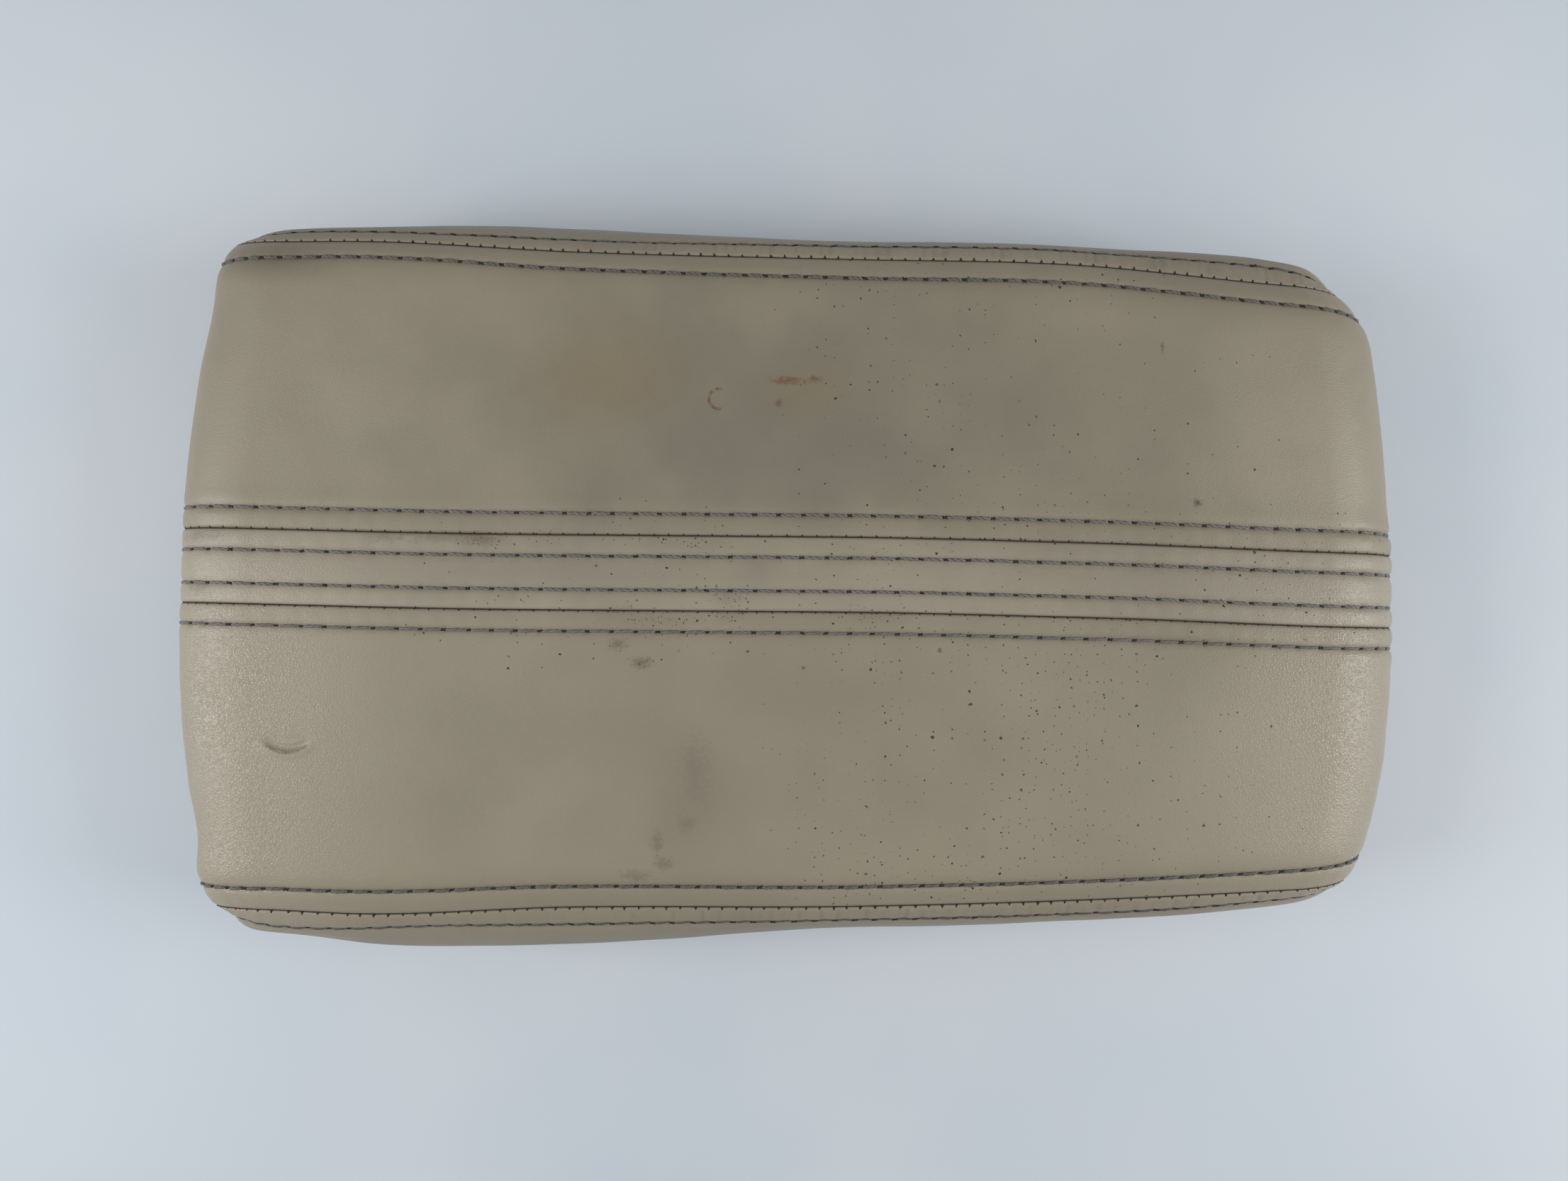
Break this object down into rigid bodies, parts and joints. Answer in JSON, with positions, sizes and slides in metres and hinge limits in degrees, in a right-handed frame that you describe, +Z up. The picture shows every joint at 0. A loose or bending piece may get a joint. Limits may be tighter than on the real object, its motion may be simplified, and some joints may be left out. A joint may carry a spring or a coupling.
{
  "type": "console armrest lid",
  "caption": "Padded leather armrest lid for a car centre console, with sewn panels and topstitching, a sprung rear hinge and a finger latch under the front edge.",
  "frame": {"origin": "middle of the lid in plan, on the surface that the bumpers and the hinge base stand on", "axes": "+X along the length to the latch end (right in the picture), +Y across to the left side (up in the picture), +Z up"},
  "size_m": [0.3012, 0.1842, 0.0574],
  "materials": {
    "leather_panel": "satin",
    "leather_strip": "satin",
    "leather_side": "satin",
    "stitch_thread": "matte",
    "pad_foam": "matte",
    "carrier_plastic": "matte",
    "liner_plastic": "matte",
    "staple_steel": "satin",
    "black_screws": "satin",
    "zinc_screws": "satin",
    "bumper_rubber": "matte",
    "hinge_steel": "satin",
    "bush_nylon": "satin",
    "pin_steel": "satin",
    "clip_steel": "satin",
    "spring_steel": "satin",
    "latch_plastic": "matte",
    "lever_plastic": "satin"
  },
  "bodies": {
    "hinge_mount": {"hinge_base": "hinge_steel", "hinge_bush_left": "bush_nylon", "hinge_bush_right": "bush_nylon"},
    "lid": {"cover_left_panel": "leather_panel", "cover_centre_strip": "leather_strip", "cover_right_panel": "leather_panel", "cover_left_side": "leather_side", "cover_right_side": "leather_side", "strip_topstitch": "stitch_thread", "edge_topstitch": "stitch_thread", "foam_pad": "pad_foam", "carrier": "carrier_plastic", "cover_staples": "staple_steel", "liner": "liner_plastic", "liner_screws": "black_screws", "bumper_front_left": "bumper_rubber", "bumper_front_right": "bumper_rubber", "bumper_rear_left": "bumper_rubber", "bumper_rear_right": "bumper_rubber", "hinge_leaf": "hinge_steel", "hinge_leaf_screws": "zinc_screws", "hinge_pin": "pin_steel", "hinge_clips": "clip_steel", "hinge_spring": "spring_steel", "latch_housing": "latch_plastic", "latch_screws": "black_screws", "latch_pin": "pin_steel", "latch_spring": "spring_steel"},
    "latch": {"latch_lever": "lever_plastic"}
  },
  "joints": [
    {"name": "lid_open", "type": "hinge", "parent": "hinge_mount", "child": "lid", "pos_m": [-0.143, 0, 0.0085], "axis": [0, -1, 0], "range_deg": [0, 90], "stiffness_Nm_per_rad": 0.026, "springref_deg": 137.51, "deforming": ["hinge_spring"]},
    {"name": "latch_pull", "type": "hinge", "parent": "lid", "child": "latch", "pos_m": [0.112, 0, 0.009], "axis": [0, -1, 0], "range_deg": [0, 14], "stiffness_Nm_per_rad": 0.053, "springref_deg": -51.57, "deforming": ["latch_spring"]}
  ]
}
